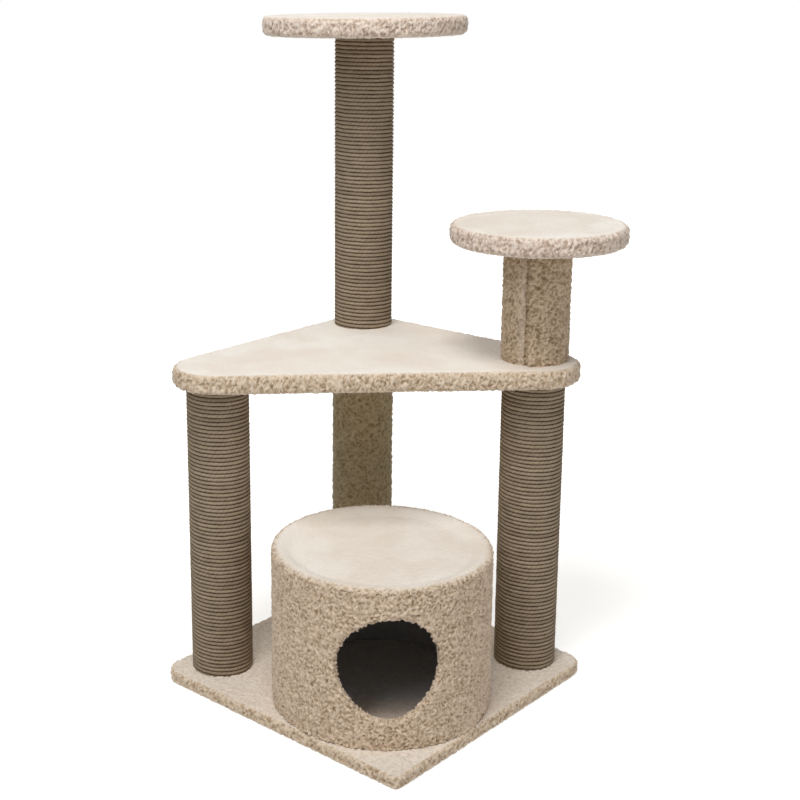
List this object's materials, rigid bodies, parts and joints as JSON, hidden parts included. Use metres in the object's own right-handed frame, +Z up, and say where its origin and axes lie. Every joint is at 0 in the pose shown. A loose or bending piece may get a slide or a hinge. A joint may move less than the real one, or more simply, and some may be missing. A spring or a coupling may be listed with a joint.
{
  "type": "cat tree",
  "caption": "Corner cat tree: square fleece base with a round condo, sisal-wound posts, a corner shelf, a small round perch and a round top platform.",
  "frame": {"origin": "centre of the base's underside, on the floor", "axes": "+Z up; -Y towards the base's front corner and the condo's entry hole; +X towards the small perch"},
  "size_m": [0.6649, 0.7154, 0.976],
  "materials": {
    "sherpa_fleece": "curly cream pile, matte",
    "sisal_rope": "twisted natural fibre, matte",
    "cardboard": "matte kraft paper",
    "particle_board": "raw, matte",
    "plug_wood": "raw, matte",
    "lining_felt": "dark felt, matte",
    "zinc_plated_steel": "bright zinc"
  },
  "bodies": {
    "root": {"base_board": "particle_board", "base_bolt_washers": "zinc_plated_steel", "base_bolts": "zinc_plated_steel", "base_cover": "sherpa_fleece", "base_cover_staples": "zinc_plated_steel", "condo_floor_disc": "particle_board", "condo_floor_mat": "sherpa_fleece", "condo_lid_board": "particle_board", "condo_lid_cover": "sherpa_fleece", "condo_lining": "lining_felt", "condo_nails": "zinc_plated_steel", "condo_screws": "zinc_plated_steel", "condo_tube": "cardboard", "condo_wall_cover": "sherpa_fleece", "left_post_foot_plug": "plug_wood", "left_post_head_plug": "plug_wood", "left_post_rope": "sisal_rope", "left_post_tube": "cardboard", "perch_board": "particle_board", "perch_cover": "sherpa_fleece", "perch_cover_staples": "zinc_plated_steel", "perch_post_cover": "sherpa_fleece", "perch_post_foot_plug": "plug_wood", "perch_post_head_plug": "plug_wood", "perch_post_tube": "cardboard", "plate_bolt_washers": "zinc_plated_steel", "plate_bolts": "zinc_plated_steel", "plug_nails": "zinc_plated_steel", "rear_post_cover": "sherpa_fleece", "rear_post_foot_plug": "plug_wood", "rear_post_head_plug": "plug_wood", "rear_post_tube": "cardboard", "right_post_foot_plug": "plug_wood", "right_post_head_plug": "plug_wood", "right_post_rope": "sisal_rope", "right_post_tube": "cardboard", "rope_end_staples": "zinc_plated_steel", "shelf_board": "particle_board", "shelf_cover": "sherpa_fleece", "shelf_cover_staples": "zinc_plated_steel", "shelf_studs": "zinc_plated_steel", "tee_nuts": "zinc_plated_steel", "top_board": "particle_board", "top_cover": "sherpa_fleece", "top_cover_staples": "zinc_plated_steel", "upper_post_foot_plug": "plug_wood", "upper_post_head_plug": "plug_wood", "upper_post_rope": "sisal_rope", "upper_post_tube": "cardboard"}
  },
  "joints": []
}
